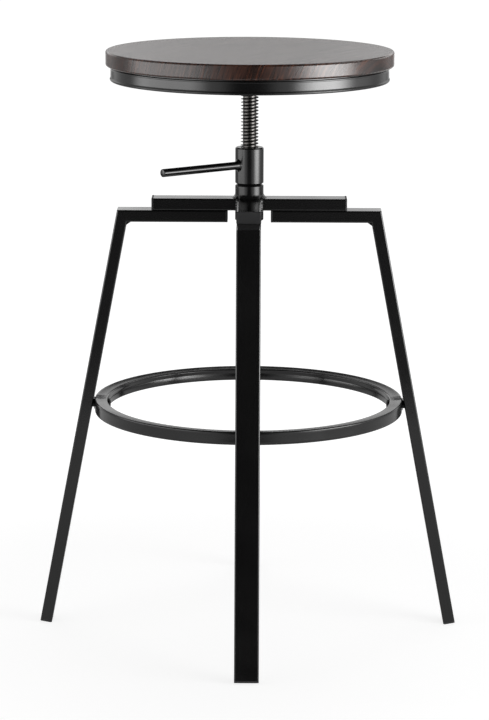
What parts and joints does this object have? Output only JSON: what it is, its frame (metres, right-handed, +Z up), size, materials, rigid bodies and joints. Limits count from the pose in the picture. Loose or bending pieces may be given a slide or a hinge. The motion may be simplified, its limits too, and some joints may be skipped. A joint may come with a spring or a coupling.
{
  "type": "bar stool",
  "caption": "Height-adjustable bar stool: round timber seat on a lead screw with a lever-locked sleeve, tube legs and a footrest ring.",
  "frame": {"origin": "on the floor, straight below the middle of the round seat, at the centre of the bounding box's base", "axes": "+Z up along the lead screw; the front leg towards -Y, the right leg towards +X, the lever to the left and forwards"},
  "size_m": [0.454, 0.454, 0.626],
  "materials": {
    "seat_timber": "satin dark stain with open grain",
    "graphite_paint": "semi-gloss graphite powder coat",
    "black_paint": "semi-gloss black powder coat",
    "gloss_black_paint": "gloss black enamel",
    "screw_steel": "dark oiled steel",
    "plated_steel": "zinc plated",
    "black_fastener": "black oxide",
    "black_plastic": "matt moulded"
  },
  "bodies": {
    "base": {"hub": "graphite_paint", "arm_front": "black_paint", "arm_right": "black_paint", "arm_rear": "black_paint", "arm_left": "black_paint", "arm_cap_front": "black_plastic", "arm_cap_right": "black_plastic", "arm_cap_rear": "black_plastic", "arm_cap_left": "black_plastic", "leg_front": "black_paint", "leg_right": "black_paint", "leg_rear": "black_paint", "leg_left": "black_paint", "leg_plug_front": "black_plastic", "leg_plug_right": "black_plastic", "leg_plug_rear": "black_plastic", "leg_plug_left": "black_plastic", "foot_cap_front": "black_plastic", "foot_cap_right": "black_plastic", "foot_cap_rear": "black_plastic", "foot_cap_left": "black_plastic", "arm_nuts": "plated_steel", "leg_bolts": "plated_steel", "footrest_ring": "graphite_paint", "ring_nuts": "black_fastener", "ring_bolts": "black_fastener"},
    "stop_ring": {"stop_washer": "plated_steel"},
    "seat": {"seat_top": "seat_timber", "seat_pan": "graphite_paint", "seat_plate": "graphite_paint", "seat_plate_screws": "plated_steel", "pan_screws": "plated_steel", "lead_screw": "screw_steel", "stop_bolt": "plated_steel"},
    "lock": {"lock_sleeve": "graphite_paint", "lock_lever": "gloss_black_paint"}
  },
  "joints": [
    {"name": "seat_lift", "type": "slide", "parent": "base", "child": "stop_ring", "axis": [0, 0, 1], "range_m": [-0.0736, 0.1366]},
    {"name": "seat_spin", "type": "hinge", "parent": "stop_ring", "child": "seat", "pos_m": [0, 0, 0.6], "axis": [0, 0, 1], "range_deg": [-7560, 14040]},
    {"name": "lock_turn", "type": "hinge", "parent": "base", "child": "lock", "pos_m": [0, 0, 0.505], "axis": [0, 0, 1], "range_deg": [0, 60]}
  ],
  "couplings": [
    {"joint": "seat_lift", "follows": "seat_spin", "m_per_rad": 0.00055704}
  ]
}
